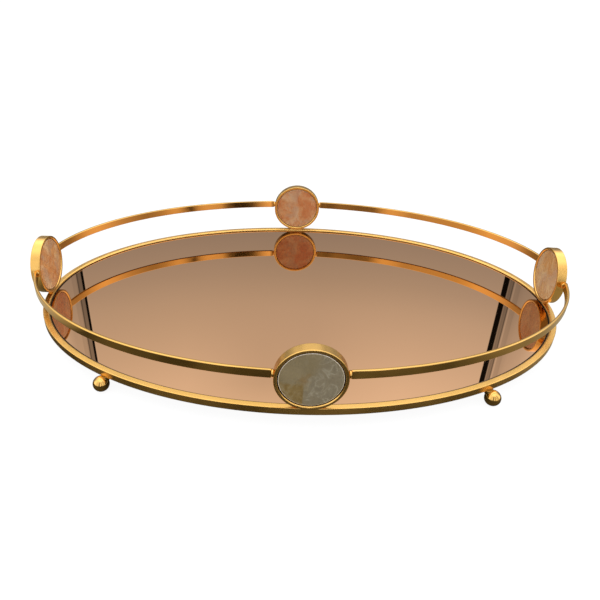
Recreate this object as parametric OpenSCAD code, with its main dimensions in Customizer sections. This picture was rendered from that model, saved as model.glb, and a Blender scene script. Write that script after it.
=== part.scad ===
// Oval mirrored vanity tray with an open gallery rail, four round medallions and ball feet.
// Millimetres. Origin on the floor under the middle of the tray; X along the length,
// Y across the width (front at -Y), Z up.

/* [Base ring] */
// Length of the oval base ring over its outer edge
ring_length = 400; // [300:1:500]
// Width of the oval base ring over its outer edge
ring_width = 267; // [200:1:350]
// Height of the underside of the base ring above the floor
ring_lift = 10.3; // [8:0.1:30]
// Height of the outer side of the base ring
ring_height = 5.2; // [4:0.1:12]
// Width of the flat top face of the base ring
ring_face = 4.7; // [3:0.1:10]
// Thickness of the inner ledge that carries the mirror
ledge_thickness = 1.2; // [0.8:0.1:3]
// Width of the ledge inside the ring wall
ledge_width = 9; // [5:0.5:20]

/* [Mirror and underside] */
// Thickness of the mirror glass
glass_thickness = 2.4; // [1.5:0.1:5]
// Gap between the mirror edge and the ring wall
glass_gap = 0.7; // [0.2:0.1:1.5]
// Thickness of the backing board behind the mirror
board_thickness = 1.0; // [0.6:0.1:3]
// Thickness of the felt sheet under the backing board
felt_thickness = 0.8; // [0.4:0.1:2]
// Gap between the ledge and the backing board
board_gap = 0.4; // [0.2:0.1:2]

/* [Gallery rail] */
// Length of the oval rail along its centre line
rail_length = 400.4; // [300:0.2:500]
// Width of the oval rail along its centre line
rail_width = 266; // [200:0.2:350]
// Height of the rail's lower edge above the floor
rail_lift = 38; // [25:0.5:80]
// Height of the rail bar
rail_height = 6; // [3:0.5:12]
// Thickness of the rail bar
rail_thickness = 2; // [1.5:0.1:5]
// Distance from a medallion's axis to the cut end of a rail
rail_end = 22.8; // [22.5:0.1:40]
// Diameter of the collars that join the rails to the medallions
collar_diameter = 5.2; // [2:0.1:6]

/* [Medallions] */
// Outer diameter of a medallion bezel
bezel_diameter = 43.8; // [30:0.1:60]
// Thickness of a medallion bezel from face to face
bezel_thickness = 7.0; // [5:0.1:15]
// Width of the lip around each inlaid disc
lip_width = 2.2; // [1:0.1:5]
// Bevel on the four edges of the lips
lip_bevel = 0.5; // [0.2:0.1:1]
// Thickness of the web between the two discs of a medallion
web_thickness = 2.2; // [1:0.1:6]
// Depth of the disc's face below the lip
disc_recess = 0.7; // [0.2:0.1:1.5]
// Gap between a disc and its bezel
disc_gap = 0.2; // [0.1:0.05:0.5]
// Bevel around the face of each disc
disc_bevel = 0.8; // [0.3:0.1:1.5]
// Distance from the middle of the tray to the left medallion
left_reach = 198.2; // [150:0.1:250]
// Distance from the middle of the tray to the right medallion
right_reach = 196.4; // [150:0.1:250]
// Distance from the middle of the tray to the front and back medallions
front_reach = 131.7; // [100:0.1:180]
// Thickness of the brazed seat under a medallion at its thinnest
seat_gap = 0.5; // [0.3:0.1:2]
// Length of the brazed seat under a medallion
seat_length = 11; // [6:0.5:20]
// Turn of the right medallion about the vertical
right_turn = -4; // [-8:0.5:8]

/* [Feet] */
// Diameter of the ball feet
ball_diameter = 10.6; // [8:0.1:20]
// Distance from the middle of the tray to the left feet, along X
foot_left_x = 132.7; // [60:0.1:180]
// Distance from the middle of the tray to the left feet, along Y
foot_left_y = 101.9; // [40:0.1:130]
// Distance from the middle of the tray to the right feet, along X
foot_right_x = 120.6; // [60:0.1:180]
// Distance from the middle of the tray to the right feet, along Y
foot_right_y = 109.3; // [40:0.1:130]
// Diameter of the slanting stem between a ball and the ring
stem_diameter = 6.4; // [3:0.1:9]
// Slope of the stem above the horizontal
stem_slope = 46; // [20:1:80]
// Depth of the stem's socket in the ball
stem_socket = 0.6; // [0.2:0.1:1.5]

/* [Hidden] */
$fn = 96;
ring_a = ring_length / 2;
ring_b = ring_width / 2;
ring_top = ring_lift + ring_height;
glass_bottom = ring_lift + ledge_thickness;
glass_inset = ring_face + glass_gap;
opening_inset = ring_face + ledge_width;
board_bottom = glass_bottom - board_thickness;
felt_bottom = board_bottom - felt_thickness;
rail_a = rail_length / 2;
rail_b = rail_width / 2;
rail_middle = rail_lift + rail_height / 2;
bezel_radius = bezel_diameter / 2;
half_bezel = bezel_thickness / 2;
cup_radius = bezel_radius - lip_width;
medallion_height = ring_top + seat_gap + bezel_radius;
disc_radius = cup_radius - disc_gap;
disc_thickness = half_bezel - web_thickness / 2 - disc_recess;
seat_depth = ring_face - 0.4;
seat_height = seat_gap + bezel_radius
    - sqrt(pow(bezel_radius, 2) - pow(seat_length / 2, 2)) + 0.1;
ball_radius = ball_diameter / 2;
stem_start = sqrt(pow(ball_radius, 2) - pow(stem_diameter / 2, 2)) - stem_socket;
stem_run = 20;
gold = [0.86, 0.64, 0.28];

// Where the rail's centre line crosses a given x or y.
function rail_y(x) = rail_b * sqrt(1 - pow(x / rail_a, 2));
function rail_x(y) = rail_a * sqrt(1 - pow(y / rail_b, 2));

// ---- shared shapes ----

module oval(a, b, bottom, height) {
    translate([0, 0, bottom]) scale([1, b / a, 1]) cylinder(r = a, h = height, $fn = 180);
}

// An oval sheet whose edge runs inside the ring's outer edge by the given inset.
module inset_oval(inset, bottom, height) {
    oval(ring_a - inset, ring_b - inset, bottom, height);
}

// A quarter of the upright flat bar, in the +X +Y quadrant.
module rail_quarter() {
    half = rail_thickness / 2;
    color(gold)
    intersection() {
        difference() {
            oval(rail_a + half, rail_b + half, rail_lift, rail_height);
            oval(rail_a - half, rail_b - half, rail_lift - 1, rail_height + 2);
        }
        translate([rail_end, rail_end, rail_lift - 1])
            cube([rail_a, rail_b, rail_height + 2]);
    }
}

// Medallion pieces are drawn about the Z axis, outer face up, then stood upright.
module bezel() {
    color(gold)
    rotate_extrude($fn = 120) polygon([
        [0, -web_thickness / 2],
        [cup_radius, -web_thickness / 2],
        [cup_radius, -half_bezel + lip_bevel],
        [cup_radius + lip_bevel, -half_bezel],
        [bezel_radius - lip_bevel, -half_bezel],
        [bezel_radius, -half_bezel + lip_bevel],
        [bezel_radius, half_bezel - lip_bevel],
        [bezel_radius - lip_bevel, half_bezel],
        [cup_radius + lip_bevel, half_bezel],
        [cup_radius, half_bezel - lip_bevel],
        [cup_radius, web_thickness / 2],
        [0, web_thickness / 2],
    ]);
}

module disc(tint) {
    top = web_thickness / 2 + disc_thickness;
    color(tint)
    rotate_extrude($fn = 120) polygon([
        [0, web_thickness / 2],
        [disc_radius, web_thickness / 2],
        [disc_radius, top - disc_bevel / 2],
        [disc_radius - disc_bevel, top],
        [0, top],
    ]);
}

module drum() {
    cylinder(r = bezel_radius, h = bezel_thickness, center = true, $fn = 120);
}

// Stands a piece upright at a medallion's place; its Z axis then points outwards.
module at_front() { translate([0, -front_reach, medallion_height]) rotate([90, 0, 0]) children(); }
module at_back() { translate([0, front_reach, medallion_height]) rotate([-90, 0, 0]) children(); }
module at_left() { translate([-left_reach, 0, medallion_height]) rotate([0, -90, 0]) children(); }
module at_right() {
    translate([right_reach, 0, medallion_height])
        rotate([0, 0, right_turn]) rotate([0, 90, 0]) children();
}

// A collar along the X axis or the Y axis, from the rail's cut end into the drum's outline.
module collar_x(side, y) {
    translate([side * rail_end, y, rail_middle]) rotate([0, -90 * side, 0])
        cylinder(d = collar_diameter, h = rail_end - bezel_radius + 2.2, $fn = 48);
}

module collar_y(side, x) {
    translate([x, side * rail_end, rail_middle]) rotate([90 * side, 0, 0])
        cylinder(d = collar_diameter, h = rail_end - bezel_radius + 2.2, $fn = 48);
}

module seat(across) {
    size = across ? [seat_depth, seat_length, seat_height] : [seat_length, seat_depth, seat_height];
    translate([-size[0] / 2, -size[1] / 2, ring_top]) cube(size);
}

// Places a stem's axis: from the ball's middle, up towards the middle of the tray.
module at_foot(x, y) {
    translate([x, y, ball_radius]) rotate([0, 90 - stem_slope, atan2(-y, -x)]) children();
}

// The ball has a shallow round socket that its stem is brazed into.
module ball(x, y) {
    color(gold)
    at_foot(x, y) difference() {
        sphere(r = ball_radius, $fn = 72);
        translate([0, 0, stem_start]) cylinder(d = stem_diameter, h = stem_run, $fn = 60);
    }
}

module stem(x, y) {
    color(gold)
    difference() {
        at_foot(x, y) translate([0, 0, stem_start]) rotate([0, 0, 90])
            cylinder(d = stem_diameter, h = stem_run, $fn = 60);
        translate([x - stem_run * 2, y - stem_run * 2, ring_lift]) cube(stem_run * 4);
    }
}

// ---- base ----

module base_ring() {
    color(gold)
    difference() {
        inset_oval(0, ring_lift, ring_height);
        inset_oval(ring_face, glass_bottom, ring_height);
        inset_oval(opening_inset, ring_lift - 1, ring_height);
    }
}

// The flat level faces come from the slab, and the curved edge from the taller oval.
module slab(bottom, height) {
    translate([-ring_a, -ring_b, bottom]) cube([2 * ring_a, 2 * ring_b, height]);
}

module mirror_glass() {
    color([0.78, 0.58, 0.45]) intersection() {
        inset_oval(glass_inset, glass_bottom - 1, glass_thickness + 2);
        slab(glass_bottom, glass_thickness);
    }
}

module backing_board() {
    color([0.55, 0.45, 0.33])
        inset_oval(opening_inset + board_gap, board_bottom, board_thickness);
}

module felt_sheet() {
    color([0.12, 0.12, 0.13]) inset_oval(opening_inset + board_gap, felt_bottom, felt_thickness);
}

// ---- gallery rail ----

module rail_front_left() { mirror([1, 0, 0]) mirror([0, 1, 0]) rail_quarter(); }
module rail_front_right() { mirror([0, 1, 0]) rail_quarter(); }
module rail_back_left() { mirror([1, 0, 0]) rail_quarter(); }
module rail_back_right() { rail_quarter(); }

// ---- medallions ----

grey_shell = [0.52, 0.50, 0.42];
peach_shell = [0.85, 0.62, 0.47];

module bezel_front() { at_front() bezel(); }
module bezel_back() { at_back() bezel(); }
module bezel_left() { at_left() bezel(); }
module bezel_right() { at_right() bezel(); }
module disc_front_outer() { at_front() disc(grey_shell); }
module disc_front_inner() { at_front() mirror([0, 0, 1]) disc(peach_shell); }
module disc_back_outer() { at_back() disc(grey_shell); }
module disc_back_inner() { at_back() mirror([0, 0, 1]) disc(peach_shell); }
module disc_left_outer() { at_left() disc(grey_shell); }
module disc_left_inner() { at_left() mirror([0, 0, 1]) disc(peach_shell); }
module disc_right_outer() { at_right() disc(grey_shell); }
module disc_right_inner() { at_right() mirror([0, 0, 1]) disc(peach_shell); }

module collar_front(side) {
    color(gold) difference() { collar_x(side, -rail_y(rail_end)); at_front() drum(); }
}
module collar_back(side) {
    color(gold) difference() { collar_x(side, rail_y(rail_end)); at_back() drum(); }
}
module collar_left(side) {
    color(gold) difference() { collar_y(side, -rail_x(rail_end)); at_left() drum(); }
}
module collar_right(side) {
    color(gold) difference() { collar_y(side, rail_x(rail_end)); at_right() drum(); }
}
module collar_front_left() { collar_front(-1); }
module collar_front_right() { collar_front(1); }
module collar_back_left() { collar_back(-1); }
module collar_back_right() { collar_back(1); }
module collar_left_front() { collar_left(-1); }
module collar_left_back() { collar_left(1); }
module collar_right_front() { collar_right(-1); }
module collar_right_back() { collar_right(1); }

module seat_front() {
    color(gold) difference() {
        translate([0, ring_face / 2 - ring_b, 0]) seat(false);
        at_front() drum();
    }
}
module seat_back() { mirror([0, 1, 0]) seat_front(); }
module seat_left() {
    color(gold) difference() {
        translate([ring_face / 2 - ring_a, 0, 0]) seat(true);
        at_left() drum();
    }
}
module seat_right() {
    color(gold) difference() {
        translate([ring_a - ring_face / 2, 0, 0]) rotate([0, 0, right_turn]) seat(true);
        at_right() drum();
    }
}

// ---- feet ----

module ball_front_left() { ball(-foot_left_x, -foot_left_y); }
module ball_front_right() { ball(foot_right_x, -foot_right_y); }
module ball_back_left() { ball(-foot_left_x, foot_left_y); }
module ball_back_right() { ball(foot_right_x, foot_right_y); }
module stem_front_left() { stem(-foot_left_x, -foot_left_y); }
module stem_front_right() { stem(foot_right_x, -foot_right_y); }
module stem_back_left() { stem(-foot_left_x, foot_left_y); }
module stem_back_right() { stem(foot_right_x, foot_right_y); }

base_ring();
mirror_glass();
backing_board();
felt_sheet();
rail_front_left();
rail_front_right();
rail_back_left();
rail_back_right();
bezel_front();
bezel_back();
bezel_left();
bezel_right();
disc_front_outer();
disc_front_inner();
disc_back_outer();
disc_back_inner();
disc_left_outer();
disc_left_inner();
disc_right_outer();
disc_right_inner();
collar_front_left();
collar_front_right();
collar_back_left();
collar_back_right();
collar_left_front();
collar_left_back();
collar_right_front();
collar_right_back();
seat_front();
seat_back();
seat_left();
seat_right();
ball_front_left();
ball_front_right();
ball_back_left();
ball_back_right();
stem_front_left();
stem_front_right();
stem_back_left();
stem_back_right();
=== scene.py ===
"""Looks of the oval mirrored vanity tray: gold frame, bronze mirror, shell medallions, ball feet.

Lengths are in metres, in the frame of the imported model: X along the tray, front at -Y, Z up.
"""
import math

import bmesh
import bpy
from mathutils import Matrix, Vector


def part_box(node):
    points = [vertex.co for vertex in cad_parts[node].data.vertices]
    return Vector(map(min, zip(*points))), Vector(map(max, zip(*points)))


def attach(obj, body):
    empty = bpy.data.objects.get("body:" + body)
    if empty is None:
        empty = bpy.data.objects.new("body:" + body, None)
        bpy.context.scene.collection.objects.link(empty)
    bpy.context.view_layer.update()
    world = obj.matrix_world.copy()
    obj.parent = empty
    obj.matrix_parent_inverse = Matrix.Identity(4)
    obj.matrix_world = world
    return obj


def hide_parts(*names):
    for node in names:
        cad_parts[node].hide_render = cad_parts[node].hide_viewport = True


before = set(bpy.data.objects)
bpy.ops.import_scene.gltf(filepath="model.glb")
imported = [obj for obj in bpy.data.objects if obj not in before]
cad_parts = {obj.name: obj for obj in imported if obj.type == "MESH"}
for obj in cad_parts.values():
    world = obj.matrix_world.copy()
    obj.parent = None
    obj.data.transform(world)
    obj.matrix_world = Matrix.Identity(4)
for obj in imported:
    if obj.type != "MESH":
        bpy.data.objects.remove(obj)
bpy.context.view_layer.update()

MM = 0.001
STATIONS = 256            # rows of points round an oval

# ---- sizes that the design states and a node's box doesn't show ----

RING_FACE = 4.7 * MM      # width of the ring's flat top
LEDGE_WIDTH = 9.0 * MM
LEDGE_THICKNESS = 1.2 * MM
RAIL_THICKNESS = 2.0 * MM
LIP_WIDTH = 2.2 * MM      # gold lip round each shell disc
WEB = 2.2 * MM            # plate between a medallion's two discs
RIGHT_TURN = math.radians(-4)
RIGHT_SEAT_HALF = (5.5 * MM, 2.15 * MM)   # along and through it, before it is turned
STEM_SLOPE = math.radians(46)
STEM_RADIUS = 3.2 * MM
COLLAR_RADIUS = 2.5 * MM

# ---- camera ----

CAMERA_PLACE = Vector((-0.0241, -0.3699, 0.2336))
CAMERA_PITCH = math.radians(31.18)   # below the horizon
CAMERA_YAW = math.radians(1.48)      # towards +X
CAMERA_ROLL = math.radians(-1.97)
CAMERA_LENS = 31.96                  # focal length, in millimetres
CAMERA_SENSOR = 36                   # width, in millimetres
CAMERA_SHIFT = 0.0292

FLOOR_RADIUS = 60


# ======== mesh helpers ========

def rounded(corners, steps=4):
    """A closed outline from (x, y, radius) corners, each rounded by an arc."""
    points = []
    count = len(corners)
    for i, (x, y, radius) in enumerate(corners):
        corner = Vector((x, y))
        if radius <= 0:
            points.append(corner)
            continue
        back = (Vector(corners[i - 1][:2]) - corner).normalized()
        ahead = (Vector(corners[(i + 1) % count][:2]) - corner).normalized()
        half = back.angle(ahead) / 2
        middle = corner + (back + ahead).normalized() * radius / math.sin(half)
        start = corner + back * radius / math.tan(half) - middle
        end = corner + ahead * radius / math.tan(half) - middle
        turn = start.angle_signed(end)
        for k in range(steps + 1):
            spin = Matrix.Rotation(-turn * k / steps, 2)
            points.append(middle + spin @ start)
    return points


def loft(rows, wrap_rows=False, wrap_points=True, caps=False):
    """A mesh through rows of points that all have the same length."""
    mesh = bmesh.new()
    grid = [[mesh.verts.new(p) for p in row] for row in rows]
    n, m = len(grid), len(grid[0])
    for i in range(n if wrap_rows else n - 1):
        for j in range(m if wrap_points else m - 1):
            a, b = grid[i], grid[(i + 1) % n]
            mesh.faces.new((a[j], a[(j + 1) % m], b[(j + 1) % m], b[j]))
    if caps:
        mesh.faces.new(grid[0])
        mesh.faces.new(list(reversed(grid[-1])))
    bmesh.ops.remove_doubles(mesh, verts=mesh.verts, dist=1e-7)
    bmesh.ops.recalc_face_normals(mesh, faces=mesh.faces)
    return mesh


def oval_rows(a, b, outline):
    """One row of (inset, height) points at each station of an oval with half-axes a and b."""
    rows = []
    for i in range(STATIONS):
        t = 2 * math.pi * i / STATIONS
        rows.append([((a - inset) * math.cos(t), (b - inset) * math.sin(t), height)
                     for inset, height in outline])
    return rows


def oval_sweep(a, b, outline):
    """Sweeps a closed outline of (inset, height) points round an oval."""
    return loft(oval_rows(a, b, outline), wrap_rows=True)


def lathe(outline, place, turns):
    """Turns (radius, height) points about the Z axis of the given place."""
    rows = []
    for i in range(turns):
        t = 2 * math.pi * i / turns
        rows.append([place @ Vector((p[0] * math.cos(t), p[0] * math.sin(t), p[1])) for p in outline])
    return loft(rows, wrap_rows=True, wrap_points=False)


def sharpen_between_materials(mesh):
    """Keeps a crisp edge wherever two materials meet."""
    for e in mesh.edges:
        e.smooth = e.link_faces[0].material_index == e.link_faces[1].material_index


def piece(name, mesh, material, nodes, extra_materials=()):
    """Makes the object, lets it ride on the one body, and stands it for its CAD nodes."""
    data = bpy.data.meshes.new(name)
    mesh.to_mesh(data)
    mesh.free()
    data.shade_smooth()
    data.materials.append(material)
    for other in extra_materials:
        data.materials.append(other)
    obj = bpy.data.objects.new(name, data)
    bpy.context.scene.collection.objects.link(obj)
    normals = obj.modifiers.new("flat_faces_stay_flat", "WEIGHTED_NORMAL")
    normals.weight = 100
    normals.keep_sharp = True
    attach(obj, "root")
    if nodes:
        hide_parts(*nodes)
    return obj


def node_middle(node):
    low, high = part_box(node)
    return (Vector(low) + Vector(high)) / 2


# ======== shader nodes ========

class Graph:
    """A short way to write nodes. What goes into one is a plain value or another node's output."""

    def __init__(self, tree):
        self.tree = tree

    def add(self, kind, **settings):
        node = self.tree.nodes.new(kind)
        for key, value in settings.items():
            setattr(node, key, value)
        return node

    def link(self, source, target):
        self.tree.links.new(source, target)

    def feed(self, value, target):
        if isinstance(value, (int, float, tuple, Vector)):
            target.default_value = value
        else:
            self.link(value, target)

    def coords(self, kind="Object"):
        return self.add("ShaderNodeTexCoord").outputs[kind]

    def split(self, vector):
        node = self.add("ShaderNodeSeparateXYZ")
        self.link(vector, node.inputs[0])
        return node.outputs

    def maths(self, operation, first, second):
        node = self.add("ShaderNodeMath", operation=operation)
        self.feed(first, node.inputs[0])
        self.feed(second, node.inputs[1])
        return node.outputs[0]

    def vector_maths(self, operation, first, second=(0, 0, 0), result="Vector"):
        node = self.add("ShaderNodeVectorMath", operation=operation)
        self.feed(first, node.inputs[0])
        self.feed(second, node.inputs[1])
        return node.outputs[result]

    def stretch(self, vector, scale, turn=0.0):
        node = self.add("ShaderNodeMapping")
        node.inputs["Rotation"].default_value = (0, 0, turn)
        node.inputs["Scale"].default_value = scale
        self.link(vector, node.inputs["Vector"])
        return node.outputs["Vector"]

    def noise(self, vector, scale, detail=4.0, roughness=0.5, distortion=0.0):
        node = self.add("ShaderNodeTexNoise")
        node.inputs["Scale"].default_value = scale
        node.inputs["Detail"].default_value = detail
        node.inputs["Roughness"].default_value = roughness
        node.inputs["Distortion"].default_value = distortion
        self.link(vector, node.inputs["Vector"])
        return node.outputs["Fac"]

    def remap(self, value, low, high, new_low, new_high):
        node = self.add("ShaderNodeMapRange")
        for name, limit in zip(("From Min", "From Max", "To Min", "To Max"), (low, high, new_low, new_high)):
            node.inputs[name].default_value = limit
        self.link(value, node.inputs["Value"])
        return node.outputs["Result"]

    def spread(self, noise, new_low, new_high):
        """Remaps the range in which nearly all of a noise lies."""
        return self.remap(noise, 0.3, 0.7, new_low, new_high)

    def ramp(self, value, stops):
        """A colour ramp of (position, colour) stops, which is flat before its first stop."""
        node = self.add("ShaderNodeValToRGB")
        elements = node.color_ramp.elements
        elements.remove(elements[1])
        elements[0].position = 0.0
        elements[0].color = (*stops[0][1], 1)
        for position, colour in stops:
            elements.new(position).color = (*colour, 1)
        self.link(value, node.inputs["Fac"])
        return node.outputs["Color"]

    def mix(self, amount, first, second):
        node = self.add("ShaderNodeMix", data_type="RGBA")
        for value, name in ((amount, "Factor"), (first, "A"), (second, "B")):
            self.feed(value, [s for s in node.inputs if s.name == name and s.enabled][0])
        return [s for s in node.outputs if s.enabled][0]


class Surface(Graph):
    """The nodes of one material, round its Principled shader."""

    def __init__(self, name):
        self.material = bpy.data.materials.new(name)
        self.material.use_nodes = True
        super().__init__(self.material.node_tree)
        self.shader = self.tree.nodes["Principled BSDF"]

    def set(self, **values):
        for key, value in values.items():
            self.shader.inputs[key.replace("_", " ")].default_value = value

    def colour(self, source):
        self.link(source, self.shader.inputs["Base Color"])

    def roughness(self, source):
        self.link(source, self.shader.inputs["Roughness"])

    def bump(self, height, distance):
        node = self.add("ShaderNodeBump")
        node.inputs["Distance"].default_value = distance
        self.link(height, node.inputs["Height"])
        self.link(node.outputs["Normal"], self.shader.inputs["Normal"])


# ======== materials ========

def gold(name, polish, grain, tone=1.0):
    """Gold-plated metal: polish is its mean roughness, grain the depth of its fine surface."""
    n = Surface(name)
    n.set(Metallic=1.0)
    here = n.coords()
    cloud = n.noise(here, 18, detail=3)
    fine = n.noise(here, 900, detail=3, roughness=0.6)
    smudge = n.noise(here, 60, detail=5, distortion=0.6)
    low, high = (0.66, 0.385, 0.100), (0.71, 0.425, 0.130)
    n.colour(n.ramp(cloud, [(0.30, [c * tone for c in low]), (0.70, [c * tone for c in high])]))
    n.roughness(n.spread(smudge, polish * 0.75, polish * 1.3))
    n.bump(fine, grain)
    return n.material


def bronze_mirror(name):
    """Silvered bronze glass, with a trace of dust."""
    n = Surface(name)
    n.set(Metallic=1.0)
    here = n.coords()
    cloud = n.noise(here, 6, detail=2)
    dust = n.noise(here, 240, detail=6, roughness=0.7)
    n.colour(n.ramp(cloud, [(0.40, (0.548, 0.316, 0.171)), (0.60, (0.558, 0.322, 0.177))]))
    n.roughness(n.remap(dust, 0.45, 0.75, 0.004, 0.025))
    return n.material


def plain(name, low, high, roughness, scale, grain, **values):
    """One colour with a fine grain: low and high are its darkest and lightest tones."""
    n = Surface(name)
    n.set(**values)
    speck = n.noise(n.coords(), scale, detail=5, roughness=0.6)
    n.colour(n.ramp(speck, [(0.3, low), (0.7, high)]))
    n.roughness(n.spread(speck, roughness * 0.8, roughness * 1.2))
    n.bump(speck, grain)
    return n.material


def shell_finish(n, colour, wisp, lines):
    n.set(Coat_Weight=0.5, Coat_Roughness=0.05, Coat_IOR=1.5, Specular_IOR_Level=0.4)
    n.colour(colour)
    n.roughness(n.spread(wisp, 0.20, 0.34))
    n.bump(lines, 0.02 * MM)
    return n.material


def disc_space(n, side):
    """Coordinates on a disc: X across its face, Y up and Z through it, 1 at the rim."""
    x, y, z = n.split(n.vector_maths("SUBTRACT", n.coords(), node_middle("bezel_" + side)))
    across, through = (x, y) if side in ("front", "back") else (y, x)
    join = n.add("ShaderNodeCombineXYZ")
    for source, target in zip((across, z, through), join.inputs):
        n.link(n.maths("DIVIDE", source, DISC_RADIUS), target)
    return join.outputs[0]


def turned(n, face, degrees, squeeze):
    """Turns the disc's coordinates in its face and squeezes them across the streaks."""
    return n.stretch(face, (squeeze, 1, 1), math.radians(degrees))


def side_of(n, face, direction, offset, blur, wander):
    """1 on the far side of a line across the disc, which wanders a little."""
    reach = n.vector_maths("DOT_PRODUCT", face, (*direction, 0), "Value")
    wobble = n.spread(n.noise(face, 2.6, detail=5), -wander, wander)
    return n.remap(n.maths("ADD", reach, wobble), offset - blur, offset + blur, 0.0, 1.0)


def near(n, face, spot, reach):
    """1 around a spot on the disc, fading to 0 at its ragged edge."""
    flat = n.vector_maths("MULTIPLY", face, (1, 1, 0))
    apart = n.vector_maths("DISTANCE", flat, (*spot, 0), "Value")
    wobble = n.spread(n.noise(face, 3.2, detail=4), -0.1, 0.1)
    return n.remap(n.maths("ADD", apart, wobble), reach * 0.6, reach * 1.2, 1.0, 0.0)


def grey_shell(name, side):
    """Grey-green shell laid in three pieces: olive above, amber below left, blue-grey on the right."""
    n = Surface(name)
    face = disc_space(n, side)
    soft = n.noise(face, 1.8, detail=3)
    plumes = n.noise(turned(n, face, 35, 1.5), 1.5, detail=4, roughness=0.5, distortion=1.4)
    lines = n.noise(turned(n, face, -30, 2.2), 2.6, detail=5, roughness=0.55, distortion=0.7)
    olive = n.ramp(soft, [(0.42, (0.172, 0.132, 0.068)), (0.58, (0.192, 0.148, 0.078))])
    blue = n.ramp(plumes, [(0.40, (0.168, 0.136, 0.084)), (0.49, (0.186, 0.154, 0.098)),
                           (0.52, (0.246, 0.212, 0.146)), (0.55, (0.180, 0.148, 0.092)),
                           (0.64, (0.160, 0.130, 0.082))])
    amber = n.ramp(lines, [(0.40, (0.158, 0.100, 0.030)), (0.52, (0.182, 0.122, 0.042)),
                           (0.62, (0.200, 0.142, 0.060))])
    brown, cream = (0.170, 0.104, 0.034, 1), (0.30, 0.26, 0.19, 1)
    right = side_of(n, face, (0.93, -0.36), -0.04, 0.16, 0.12)
    low = side_of(n, face, (-0.10, -0.99), 0.20, 0.05, 0.07)
    left = side_of(n, face, (-1.0, 0.0), 0.22, 0.015, 0.015)
    stain = n.maths("MULTIPLY", near(n, face, (-0.20, 0.02), 0.20), 0.75)
    colour = n.mix(right, olive, blue)
    colour = n.mix(n.maths("MULTIPLY", low, left), colour, amber)
    colour = n.mix(stain, colour, brown)
    colour = n.mix(n.remap(lines, 0.54, 0.62, 0.0, 0.08), colour, cream)
    return shell_finish(n, colour, plumes, lines)


def peach_shell(name, side, pale, body, deep, angle):
    """Peach shell: pale clouds and deeper streaks that lean one way, under a light haze."""
    n = Surface(name)
    face = disc_space(n, side)
    cloud = n.noise(turned(n, face, angle, 1.4), 0.95, detail=3, roughness=0.5, distortion=0.8)
    streak = n.noise(turned(n, face, angle + 12, 1.7), 1.15, detail=4, roughness=0.55, distortion=1.6)
    lines = n.noise(turned(n, face, angle - 8, 2.6), 2.4, detail=4, roughness=0.55, distortion=0.8)
    haze = n.noise(turned(n, face, angle + 25, 1.3), 1.25, detail=3, distortion=0.6)
    haze_tone = (0.43, 0.285, 0.185, 1)
    off, on = (0, 0, 0), (1, 1, 1)
    vein = n.ramp(streak, [(0.46, off), (0.49, on), (0.51, on), (0.54, off)])
    colour = n.ramp(cloud, [(0.40, deep), (0.47, body), (0.53, body), (0.61, pale)])
    colour = n.mix(n.maths("MULTIPLY", vein, 0.75), colour, (*deep, 1))
    colour = n.mix(n.remap(lines, 0.50, 0.64, 0.0, 0.35), colour, (*pale, 1))
    colour = n.mix(n.remap(haze, 0.50, 0.60, 0.0, 0.60), colour, haze_tone)
    return shell_finish(n, colour, streak, lines)


def felt(name):
    """Black felt: two tones of fibre in soft patches."""
    n = Surface(name)
    n.set(Sheen_Weight=0.6, Sheen_Roughness=0.6, Specular_IOR_Level=0.15)
    here = n.coords()
    fibres = n.noise(here, 2600, detail=6, roughness=0.75, distortion=1.5)
    patch = n.noise(here, 40, detail=4)
    n.colour(n.mix(n.spread(patch, 0.2, 0.8),
                   n.ramp(fibres, [(0.30, (0.012, 0.012, 0.013)), (0.75, (0.060, 0.059, 0.062))]),
                   n.ramp(fibres, [(0.30, (0.016, 0.015, 0.015)), (0.75, (0.085, 0.083, 0.082))])))
    n.roughness(n.remap(fibres, 0.2, 0.8, 0.85, 1.0))
    n.bump(fibres, 0.4 * MM)
    return n.material


def fibreboard(name):
    n = Surface(name)
    n.set(Specular_IOR_Level=0.25)
    pulp = n.noise(n.coords(), 700, detail=7, roughness=0.7)
    n.colour(n.ramp(pulp, [(0.3, (0.16, 0.105, 0.060)), (0.7, (0.28, 0.195, 0.120))]))
    n.roughness(n.spread(pulp, 0.75, 0.95))
    n.bump(pulp, 0.1 * MM)
    return n.material


GOLD_RING = gold("gold_ring", polish=0.26, grain=0.0012 * MM, tone=1.12)
GOLD_RAIL = gold("gold_rail", polish=0.11, grain=0.004 * MM)
GOLD_TURNED = gold("gold_turned", polish=0.09, grain=0.002 * MM)
GOLD_BEZEL = gold("gold_bezel", polish=0.22, grain=0.0015 * MM, tone=1.08)
GOLD_BRAZED = gold("gold_brazed", polish=0.16, grain=0.02 * MM)
# The stems' gold is darkened to 0.42 of its tone: painted shade under the tray.
GOLD_STEM_PAINTED_SHADE = gold("gold_stem_painted_shade", polish=0.22, grain=0.01 * MM, tone=0.42)
MIRROR = bronze_mirror("bronze_mirror")
# The glass edge is dark brown: painted shade of the narrow gap beside the mirror.
GLASS_EDGE = plain("mirror_edge_painted_shade", (0.030, 0.020, 0.012), (0.060, 0.042, 0.026), 0.12, 420, 0.03 * MM)
# Near-black, low-gloss bead in the gap between mirror and ring: painted shade of the deep gap.
PAINTED_SHADE_SEAM = plain("seam_painted_shade", (0.008, 0.005, 0.003), (0.018, 0.011, 0.006), 0.60, 700, 0.04 * MM,
             Specular_IOR_Level=0.1)
# Pale line on the grey discs' bevel: painted highlight.
SHELL_EDGE_HIGHLIGHT = plain("shell_edge_painted_highlight", (0.66, 0.56, 0.43), (0.80, 0.70, 0.57), 0.12, 600, 0.02 * MM,
                   Coat_Weight=1.0, Coat_Roughness=0.03)
# Near-black outer slope of the grey discs: painted shade of the recess between disc and lip.
SHELL_GAP_SHADE = plain("shell_gap_painted_shade", (0.018, 0.013, 0.008), (0.040, 0.028, 0.016), 0.40, 700, 0.03 * MM)
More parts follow.
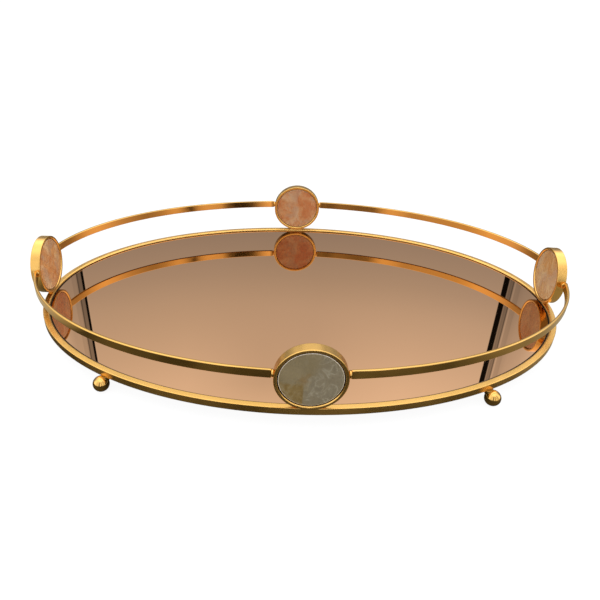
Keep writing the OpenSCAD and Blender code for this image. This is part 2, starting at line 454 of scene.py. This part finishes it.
# Lighter peach line on the inner discs' bevel: painted highlight.
PEACH_EDGE_HIGHLIGHT = plain("peach_edge_painted_highlight", (0.52, 0.34, 0.20), (0.66, 0.46, 0.29), 0.16, 600, 0.02 * MM,
                   Coat_Weight=0.6, Coat_Roughness=0.05)
# Darker gold on the inner discs' outer slope: painted shade of the recess between disc and lip.
PEACH_GAP_SHADE = plain("peach_gap_painted_shade", (0.34, 0.185, 0.060), (0.46, 0.265, 0.095), 0.30, 700, 0.03 * MM,
                   Metallic=1.0)
FELT = felt("black_felt")
BOARD = fibreboard("fibreboard")


# ======== base ring, mirror and underside ========

ring_low, ring_high = (Vector(c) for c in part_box("base_ring"))
RING_A = (ring_high.x - ring_low.x) / 2
RING_B = (ring_high.y - ring_low.y) / 2
RING_TOP, RING_BOTTOM = ring_high.z, ring_low.z
glass_low, glass_high = (Vector(c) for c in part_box("mirror_glass"))


def make_ring():
    """The ring with its inner ledge. Its inner top edge is worn rounder than the outer one."""
    ledge_top = RING_BOTTOM + LEDGE_THICKNESS
    ledge_end = RING_FACE + LEDGE_WIDTH
    outline = rounded([
        (0, RING_BOTTOM, 0.35 * MM),
        (0, RING_TOP, 0.45 * MM),
        (RING_FACE, RING_TOP, 1.30 * MM),
        (RING_FACE, ledge_top, 0.15 * MM),
        (ledge_end, ledge_top, 0.20 * MM),
        (ledge_end, RING_BOTTOM, 0.20 * MM),
    ], steps=6)
    return piece("ring", oval_sweep(RING_A, RING_B, outline), GOLD_RING, ["base_ring"])


def make_mirror():
    """The glass, with a narrow bevel on its upper edge and rings of points on its flat faces."""
    a = (glass_high.x - glass_low.x) / 2
    b = (glass_high.y - glass_low.y) / 2
    bevel, rings, ring_step = 0.35 * MM, 8, 12.5 * MM
    edge = [(bevel, glass_high.z), (bevel * 0.4, glass_high.z - bevel * 0.25),
            (0, glass_high.z - bevel), (0, glass_low.z + bevel * 0.5), (bevel * 0.5, glass_low.z)]
    insets = [ring_step * k for k in range(1, rings + 1)]
    outline = [(d, glass_high.z) for d in reversed(insets)] + edge + [(d, glass_low.z) for d in insets]
    mesh = loft(oval_rows(a, b, outline), wrap_rows=True, wrap_points=False)
    for height in (glass_high.z, glass_low.z):
        rim = [e for e in mesh.edges if e.is_boundary and abs(e.verts[0].co.z - height) < 1e-6]
        bmesh.ops.contextual_create(mesh, geom=rim)
    bmesh.ops.recalc_face_normals(mesh, faces=mesh.faces)
    # The flat faces get the mirror; the edge faces get the dark edge colour, painted shade.
    for face in mesh.faces:
        face.material_index = 0 if abs(face.normal.z) > 0.99 else 1
    sharpen_between_materials(mesh)
    return piece("mirror", mesh, MIRROR, ["mirror_glass"], [GLASS_EDGE])


def make_seam():
    """A thin black bead that fills the gap between the mirror and the ring's inner wall: painted shade
    standing for the dark of the deep gap.
    """
    bite = 0.02 * MM      # how far it reaches into the glass and the wall
    glass = RING_A - glass_high.x + bite
    wall = RING_FACE - bite
    level = glass_high.z - 0.15 * MM
    outline = [(glass, glass_low.z), (wall, glass_low.z), (wall, level + 0.30 * MM),
               (wall + 0.14 * MM, level + 0.14 * MM), (wall + 0.36 * MM, level + 0.03 * MM),
               (glass, level)]
    return piece("mirror_seam", oval_sweep(RING_A, RING_B, outline), PAINTED_SHADE_SEAM, [])


def finish_cad_node(node, material):
    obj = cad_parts[node]
    for slot in obj.material_slots:
        slot.material = material


# ======== gallery rail ========

def rail_axes():
    """The outer half-axes of the rail's oval, from the box of one quarter of it."""
    low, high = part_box("rail_back_right")
    a, b = high[0], high[1]
    for _ in range(30):
        a = high[0] / math.sqrt(1 - (low[1] / b) ** 2)
        b = high[1] / math.sqrt(1 - (low[0] / a) ** 2)
    return a, b


RAIL_OUTER_A, RAIL_OUTER_B = rail_axes()
RAIL_A = RAIL_OUTER_A - RAIL_THICKNESS / 2
RAIL_B = RAIL_OUTER_B - RAIL_THICKNESS / 2
RAIL_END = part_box("rail_back_right")[0][0]
RAIL_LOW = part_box("rail_back_right")[0][2]
RAIL_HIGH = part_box("rail_back_right")[1][2]
RAIL_MIDDLE = (RAIL_LOW + RAIL_HIGH) / 2


def make_rail(node, side_x, side_y):
    """One arc of flat bar with eased edges and eased ends."""
    steps = 72
    ease, low_edge, top_edge = 0.45 * MM, 0.40 * MM, 0.65 * MM
    first = math.asin(RAIL_END / RAIL_B)
    last = math.acos(RAIL_END / RAIL_A)
    nudge = ease / RAIL_B
    inner = [(first + (last - first) * k / steps, 0.0) for k in range(1, steps)]
    head = [(first, ease), (first + nudge * 0.3, ease * 0.3), (first + nudge, 0.0)]
    tail = [(last - nudge, 0.0), (last - nudge * 0.3, ease * 0.3), (last, ease)]
    rows = []
    for t, tuck in head + inner + tail:
        half_t = RAIL_THICKNESS / 2 - tuck
        half_h = (RAIL_HIGH - RAIL_LOW) / 2 - tuck
        section = rounded([(-half_t, -half_h, low_edge), (half_t, -half_h, low_edge),
                           (half_t, half_h, top_edge), (-half_t, half_h, top_edge)])
        rows.append([(side_x * (RAIL_A + out) * math.cos(t), side_y * (RAIL_B + out) * math.sin(t),
                      RAIL_MIDDLE + up) for out, up in section])
    return piece(node + "_bar", loft(rows, caps=True), GOLD_RAIL, [node])


# ======== medallions ========

# pale, body and deep tones of each peach disc, and the lean of its streaks
PEACH = {
    "front": ((0.62, 0.40, 0.23), (0.51, 0.245, 0.105), (0.43, 0.150, 0.042), 30),
    "back": ((0.56, 0.34, 0.185), (0.51, 0.240, 0.100), (0.46, 0.155, 0.048), 35),
    "left": ((0.70, 0.45, 0.235), (0.60, 0.285, 0.105), (0.52, 0.195, 0.060), 70),
    "right": ((0.56, 0.385, 0.205), (0.50, 0.300, 0.135), (0.46, 0.225, 0.075), -35),
}
OUTWARD = {"front": (0, -1, 0), "back": (0, 1, 0), "left": (-1, 0, 0), "right": (1, 0, 0)}
bezel_low, bezel_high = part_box("bezel_front")
BEZEL_RADIUS = (bezel_high[0] - bezel_low[0]) / 2
BEZEL_HALF = (bezel_high[1] - bezel_low[1]) / 2
disc_low, disc_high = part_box("disc_front_outer")
DISC_RADIUS = (disc_high[0] - disc_low[0]) / 2
DISC_FACE = node_middle("bezel_front").y - disc_low[1]      # from the bezel's middle to the face


def turn_of(side):
    return RIGHT_TURN if side == "right" else 0.0


def medallion_place(side):
    """A place whose Z axis points outwards and whose Y axis points up, turned as the bezel is."""
    middle = node_middle("bezel_" + side)
    z = Vector(OUTWARD[side])
    y = Vector((0, 0, 1))
    x = y.cross(z)
    place = Matrix.Translation(middle) @ Matrix((x, y, z)).transposed().to_4x4()
    spin = Matrix.Rotation(turn_of(side), 4, "Z")
    return Matrix.Translation(middle) @ spin @ Matrix.Translation(-middle) @ place


def make_bezel(side):
    """A drum with flat lips, eased at their edges, and a web inside."""
    r, h, cup, web = BEZEL_RADIUS, BEZEL_HALF, BEZEL_RADIUS - LIP_WIDTH, WEB / 2
    half = [(cup, web, 0.15 * MM), (cup, h, 1.00 * MM), (r, h, 0.55 * MM)]
    corners = half + [(x, -y, q) for x, y, q in reversed(half)]
    outline = rounded([(0, web, 0)] + corners + [(0, -web, 0)], steps=6)
    mesh = lathe(outline, medallion_place(side), turns=128)
    return piece("medallion_%s_bezel" % side, mesh, GOLD_BEZEL, ["bezel_" + side])


def make_disc(side, face, material):
    """A polished disc, a little crowned, with a pale bevel line of painted highlight and a darker outer
    slope of painted shade round it.
    """
    place = medallion_place(side)
    r, top, crown, crown_steps = DISC_RADIUS, DISC_FACE, 0.08 * MM, 10
    if face == "outer":
        line, line_end, rim = r - 0.72 * MM, r - 0.44 * MM, [SHELL_EDGE_HIGHLIGHT, SHELL_GAP_SHADE]
    else:
        line, line_end, rim = r - 0.34 * MM, r - 0.12 * MM, [PEACH_EDGE_HIGHLIGHT, PEACH_GAP_SHADE]
        place = place @ Matrix.Rotation(math.pi, 4, "Y")
    outline = []
    for k in range(crown_steps + 1):
        f = k / crown_steps
        outline.append((line * f, top - crown * f ** 2))
    outline += [(line_end, top - crown - 0.14 * MM), (line_end + 0.08 * MM, top - 0.45 * MM),
                (r, top - 1.10 * MM), (r, WEB / 2), (0, WEB / 2)]
    mesh = lathe(outline, place, turns=128)
    away = place.inverted()
    slack, skin = 0.05 * MM, 0.5 * MM
    for part in mesh.faces:
        reach = max((away @ v.co).xy.length for v in part.verts)
        depth = (away @ part.calc_center_median()).z
        # Slot 2, the outer slope and sides, is painted shade; slot 1, the bevel line, is painted highlight.
        if reach > line_end + slack or depth < top - skin:
            part.material_index = 2
        elif reach > line + slack:
            part.material_index = 1
    sharpen_between_materials(mesh)
    name = "shell_%s_%s" % (side, face)
    return piece(name, mesh, material, ["disc_%s_%s" % (side, face)], rim)


def make_collar(node, along):
    """A short rounded bead between a rail's end and a bezel's rim."""
    middle = node_middle(node)
    index = "xy".index(along)
    side = 1 if middle[index] > 0 else -1
    axis = Vector((0, 0, 0))
    axis[index] = side
    gap = RAIL_END - BEZEL_RADIUS
    middle[index] = side * (BEZEL_RADIUS + gap * 0.45)
    place = Matrix.Translation(middle) @ axis.to_track_quat("Z", "Y").to_matrix().to_4x4()
    bite, steps = 0.6 * MM, 12      # it reaches this far into the rail and the bezel
    reach = gap / 2 + bite
    outline = []
    for k in range(steps + 1):
        s = -1 + 2 * k / steps
        outline.append((COLLAR_RADIUS * (1 - abs(s) ** 3) ** 0.5, reach * s))
    mesh = lathe(outline, place, turns=48)
    return piece(node + "_bead", mesh, GOLD_BRAZED, [node])


def make_seat(side):
    """The brazed fillet between a bezel and the ring, hollowed on its two long sides."""
    node = "seat_" + side
    low, high = (Vector(c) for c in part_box(node))
    half = (high - low) / 2
    spin = Matrix.Rotation(turn_of(side), 3, "Z")
    along, through = spin @ Vector((1, 0, 0)), spin @ Vector((0, 1, 0))
    half_l, half_d = half.x, half.y
    if side in ("left", "right"):
        along, through = through, along
        half_l, half_d = half.y, half.x
    if side == "right":
        half_l, half_d = RIGHT_SEAT_HALF
    middle = node_middle(node)
    axis_z = node_middle("bezel_" + side).z
    steps, levels = 16, 6
    bite, hollow = 0.05 * MM, 0.25 * MM
    bottom = RING_TOP - bite
    up = [j / levels for j in range(levels + 1)]
    rows = []
    for k in range(steps + 1):
        x = half_l * (-1 + 2 * k / steps)
        top = axis_z - math.sqrt(BEZEL_RADIUS ** 2 - x ** 2) + bite
        row = []
        for sign, shares in ((1, up), (-1, reversed(up))):
            for f in shares:
                depth = half_d - hollow * math.sin(math.pi * f)
                spot = Vector((middle.x, middle.y, bottom + (top - bottom) * f))
                row.append(spot + along * x + through * depth * sign)
        rows.append(row)
    return piece(node + "_fillet", loft(rows, caps=True), GOLD_BRAZED, [node])


# ======== feet ========

def foot(corner):
    """A ball's radius, its middle, and the axis of its stem: up towards the middle of the tray."""
    low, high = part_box("ball_" + corner)
    middle = node_middle("ball_" + corner)
    flat = Vector((-middle.x, -middle.y, 0)).normalized()
    axis = flat * math.cos(STEM_SLOPE) + Vector((0, 0, math.sin(STEM_SLOPE)))
    return (high[2] - low[2]) / 2, middle, axis


def make_ball(corner):
    """A turned ball with a fine parting line and a small flat where its stem enters."""
    radius, middle, axis = foot(corner)
    place = Matrix.Translation(middle) @ axis.to_track_quat("Z", "Y").to_matrix().to_4x4()
    neck = math.asin(STEM_RADIUS * 0.92 / radius)
    line_depth, line_spread, steps = 0.02 * MM, 0.03, 48
    outline = [(0, radius * math.cos(neck))]
    for k in range(steps + 1):
        t = neck + (math.pi - neck) * k / steps
        reach = radius - line_depth * math.exp(-((t - math.pi / 2) / line_spread) ** 2)
        outline.append((reach * math.sin(t), reach * math.cos(t)))
    mesh = lathe(outline, place, turns=72)
    return piece("foot_ball_" + corner, mesh, GOLD_TURNED, ["ball_" + corner])


def make_stem(corner):
    """A short round stem, waisted between the ball and the ring, which stays inside the ring's side."""
    radius, middle, axis = foot(corner)
    turn = axis.to_track_quat("Z", "Y").to_matrix()
    start = math.sqrt(radius ** 2 - STEM_RADIUS ** 2) - 0.5 * MM
    ceiling = RING_BOTTOM + 0.02 * MM
    levels, turns = 14, 48
    rows = []
    for k in range(levels + 1):
        f = k / levels
        waist = 0.88 + 0.12 * (2 * f - 1) ** 2
        limit = 0.996 + (1 - f) * 0.06
        row = []
        for i in range(turns):
            t = 2 * math.pi * i / turns
            rim = turn @ Vector((math.cos(t), math.sin(t), 0)) * STEM_RADIUS * waist
            base = middle + rim + axis * start
            spot = base + axis * (ceiling - base.z) / axis.z * f
            reach = math.hypot(spot.x / RING_A, spot.y / RING_B)
            if reach > limit:
                spot.x, spot.y = spot.x * limit / reach, spot.y * limit / reach
            row.append(spot)
        rows.append(row)
    mesh = loft(rows, caps=True)
    # Its darkened gold is painted shade.
    return piece("foot_stem_" + corner, mesh, GOLD_STEM_PAINTED_SHADE, ["stem_" + corner])


# ======== studio ========

class Sky(Graph):
    """The nodes of the world. Its levels are brightnesses, and its angles are in degrees."""

    PEAK = 4      # a ramp holds 0 to 1, so its levels are divided by this and multiplied again

    def __init__(self, tree):
        super().__init__(tree)
        self.x, self.y, self.z = self.split(self.coords("Generated"))

    def times(self, first, *others):
        for other in others:
            first = self.maths("MULTIPLY", first, other)
        return first

    def levels(self, value, stops):
        colours = [(position, [level / self.PEAK] * 3) for position, level in stops]
        return self.times(self.ramp(value, colours), self.PEAK)

    def rise(self, stops):
        """Levels by elevation."""
        return self.levels(self.z, [(math.sin(math.radians(e)), level) for e, level in stops])

    def sweep(self, ahead, reach, stops):
        """Levels by azimuth, up to the reach on either side of straight ahead."""
        turn = self.maths("ARCTAN2", self.x, ahead)
        share = self.maths("ADD", self.times(turn, 0.5 / math.radians(reach)), 0.5)
        return self.levels(share, [(0.5 + 0.5 * azimuth / reach, level) for azimuth, level in stops])

    def stripe(self, lean, stops):
        """A narrow run of levels by azimuth, which leans so far from horizon to zenith."""
        upright_at = 0.515      # height on the unit sphere where the azimuths are as given
        first, last = stops[0][0], stops[-1][0]
        slant = self.times(self.maths("SUBTRACT", self.z, upright_at), math.radians(lean))
        turn = self.maths("SUBTRACT", self.maths("ARCTAN2", self.x, self.y), slant)
        share = self.maths("SUBTRACT", turn, math.radians(first))
        share = self.maths("DIVIDE", share, math.radians(last - first))
        return self.levels(share, [((azimuth - first) / (last - first), level) for azimuth, level in stops])

    def blend(self, amount, first, second):
        """The first where the amount is 0 and the second where it is 1."""
        kept = self.times(first, self.maths("SUBTRACT", 1, amount))
        return self.maths("ADD", kept, self.times(amount, second))


def make_world():
    """A white tent. Behind the tray it fades towards the horizon, and two seams run up its wall.

    In front, softboxes and the gaps between them make the bright and dark runs in the gold.
    Overhead all of it gives way to one even roof. The camera itself sees plain white.
    """
    world = bpy.data.worlds.new("studio")
    bpy.context.scene.world = world
    world.use_nodes = True
    sky = Sky(world.node_tree)
    roof_level = 2.1
    front_begins = 0.45      # Y on the unit sphere below which the wall gives way to the softboxes

    fade = sky.rise([
        (0, 0.22), (10, 0.26), (17, 0.36), (22, 0.45), (24, 0.50), (26.5, 0.60), (28.5, 0.69),
        (31.2, 0.845), (33.5, 0.94), (36, 1.045), (40, 1.25), (45, 1.40), (56, 1.75),
        (66, roof_level), (90, roof_level)])
    wall = sky.sweep(sky.y, 60, [
        (-58, 1.2), (-50, 1.3), (-38, 1.8), (-30, 1.7), (-26, 1.35), (-24, 0.86), (-22.7, 0.86),
        (-21.8, 0.98), (-6.0, 1.0), (6.0, 1.01), (15.0, 1.06), (26.8, 1.08), (29.2, 1.10), (30.5, 1.25),
        (32, 1.6), (38, 2.2), (50, 1.6), (58, 1.5)])
    left_seam = sky.stripe(-1.2, [
        (-23.9, 1.0), (-23.20, 1.0), (-23.15, 0.88), (-22.78, 0.88), (-22.74, 0.80), (-22.64, 0.78),
        (-22.61, 0.27), (-22.48, 0.27), (-22.45, 0.45), (-22.14, 0.42), (-22.10, 0.008),
        (-21.88, 0.008), (-21.84, 1.04), (-21.70, 1.04), (-21.64, 1.0)])
    right_seam = sky.stripe(2.3, [
        (26.2, 1.0), (26.80, 1.0), (26.86, 0.010), (27.36, 0.010), (27.42, 0.52), (27.50, 0.52),
        (27.53, 0.38), (27.78, 0.42), (27.82, 0.24), (27.90, 0.24), (27.94, 0.60), (28.02, 0.86),
        (28.10, 0.86), (28.16, 0.68), (28.62, 0.64), (28.72, 0.74), (29.2, 0.80)])
    sag = sky.rise([(0, 0.0), (28, 0.01), (32, 0.035), (35.5, 0.10), (40, 0.19), (44, 0.0), (90, 0.0)])
    column = sky.sweep(sky.y, 60, [
        (-11, 0), (-7, 0.4), (-3.5, 0.8), (-1.0, 1.0), (5.5, 1.0), (11.5, 0.4), (18, 0)])
    boxes = sky.sweep(sky.times(sky.y, -1), 120, [
        (-110, 1.2), (-90, 1.7), (-72, 2.0), (-58, 1.42), (-36, 1.22), (-32, 1.05), (-29, 1.5),
        (-24, 1.9), (-21, 1.35), (-19.3, 0.32), (-8, 0.60), (-6, 0.10), (-3.7, 0.60), (0, 0.65), (6, 1.7),
        (9, 2.6), (12.9, 1.05), (14.0, 0.05), (21.2, 0.05), (22.6, 0.4), (24, 1.90), (31, 1.65),
        (33.6, 0.10), (35, 0.08), (37, 1.4), (40, 1.85), (46, 1.02), (52, 0.72), (66, 1.2), (84, 2.0),
        (112, 1.3)])
    roof = sky.rise([(0, 0.0), (48, 0.0), (56, 0.3), (64, 0.8), (70, 1.0), (90, 1.0)])

    behind = sky.times(fade, wall, left_seam, right_seam,
                       sky.maths("SUBTRACT", 1, sky.times(sag, column)))
    facing_back = sky.add("ShaderNodeMapRange", interpolation_type="SMOOTHSTEP")
    facing_back.inputs["From Min"].default_value = 0.0
    facing_back.inputs["From Max"].default_value = front_begins
    sky.link(sky.y, facing_back.inputs["Value"])
    tent = sky.blend(facing_back.outputs["Result"], boxes, behind)
    tent = sky.blend(roof, tent, roof_level)
    seen = sky.add("ShaderNodeLightPath").outputs["Is Camera Ray"]
    background = sky.tree.nodes["Background"]
    background.inputs["Color"].default_value = (1, 1, 1, 1)
    sky.link(sky.blend(seen, tent, 1), background.inputs["Strength"])


def make_floor():
    """A white floor. Glossy rays see it as a dim emission instead: painted shadow beneath the tray and
    painted light towards the tray's ends, which polished metal shows.
    """
    mesh = bmesh.new()
    bmesh.ops.create_circle(mesh, cap_ends=True, segments=64, radius=FLOOR_RADIUS)
    data = bpy.data.meshes.new("floor")
    mesh.to_mesh(data)
    mesh.free()
    obj = bpy.data.objects.new("floor", data)
    bpy.context.scene.collection.objects.link(obj)
    material = bpy.data.materials.new("white_floor")
    material.use_nodes = True
    material.node_tree.nodes.clear()
    n = Graph(material.node_tree)

    pale = n.add("ShaderNodeBsdfDiffuse")
    pale.inputs["Color"].default_value = (0.10, 0.10, 0.10, 1)
    glow = n.add("ShaderNodeEmission")
    glow.inputs["Strength"].default_value = 0.93
    white = n.add("ShaderNodeAddShader")
    n.link(pale.outputs[0], white.inputs[0])
    n.link(glow.outputs[0], white.inputs[1])

    here = n.coords()
    along = n.split(here)["X"]
    ovals = n.vector_maths("LENGTH", n.stretch(here, (1 / RING_A, 1 / RING_B, 0)), result="Value")
    patch = n.noise(here, 14, detail=2.0)
    # Painted shadow inside the tray's oval, made patchy, plus painted light rising towards both ends.
    shadow_edge, left_end, right_end = (0.92, 1.10), (-0.205, -0.24), (0.13, 0.26)
    under = n.remap(ovals, *shadow_edge, 0.02, 0.10)
    level = n.maths("MULTIPLY", under, n.remap(patch, 0.35, 0.65, 0.6, 1.5))
    level = n.maths("ADD", level, n.remap(along, *left_end, 0.0, 0.55))
    level = n.maths("ADD", level, n.remap(along, *right_end, 0.0, 0.36))
    shade = n.add("ShaderNodeEmission")
    shade.inputs["Color"].default_value = (1.0, 0.92, 0.66, 1)
    n.link(level, shade.inputs["Strength"])

    mix = n.add("ShaderNodeMixShader")
    n.link(n.add("ShaderNodeLightPath").outputs["Is Glossy Ray"], mix.inputs[0])
    n.link(white.outputs[0], mix.inputs[1])
    n.link(shade.outputs[0], mix.inputs[2])
    n.link(mix.outputs[0], n.add("ShaderNodeOutputMaterial").inputs["Surface"])
    data.materials.append(material)


def make_camera():
    forward_flat = Vector((math.sin(CAMERA_YAW), math.cos(CAMERA_YAW), 0))
    right = Vector((math.cos(CAMERA_YAW), -math.sin(CAMERA_YAW), 0))
    forward = forward_flat * math.cos(CAMERA_PITCH) - Vector((0, 0, math.sin(CAMERA_PITCH)))
    down = -right.cross(forward)
    across = right * math.cos(CAMERA_ROLL) + down * math.sin(CAMERA_ROLL)
    below = down * math.cos(CAMERA_ROLL) - right * math.sin(CAMERA_ROLL)
    turn = Matrix((across, -below, -forward)).transposed().to_4x4()
    lens = bpy.data.cameras.new("camera")
    lens.sensor_width = CAMERA_SENSOR
    lens.lens = CAMERA_LENS
    lens.shift_x = CAMERA_SHIFT
    lens.clip_start = 0.01
    lens.clip_end = 200
    obj = bpy.data.objects.new("camera", lens)
    obj.matrix_world = Matrix.Translation(CAMERA_PLACE) @ turn
    bpy.context.scene.collection.objects.link(obj)
    bpy.context.scene.camera = obj


# ======== everything ========

make_ring()
make_mirror()
make_seam()
finish_cad_node("backing_board", BOARD)
finish_cad_node("felt_sheet", FELT)
for ns, sy in (("front", -1), ("back", 1)):
    for ew, sx in (("left", -1), ("right", 1)):
        make_rail("rail_%s_%s" % (ns, ew), sx, sy)
        make_ball("%s_%s" % (ns, ew))
        make_stem("%s_%s" % (ns, ew))
for side in OUTWARD:
    make_bezel(side)
    make_seat(side)
    make_disc(side, "outer", grey_shell("shell_grey_" + side, side))
    make_disc(side, "inner", peach_shell("shell_peach_" + side, side, *PEACH[side]))
for ns in ("front", "back"):
    for ew in ("left", "right"):
        make_collar("collar_%s_%s" % (ns, ew), "x")
        make_collar("collar_%s_%s" % (ew, ns), "y")

make_world()
make_floor()
make_camera()
bpy.context.scene.view_settings.view_transform = "Standard"
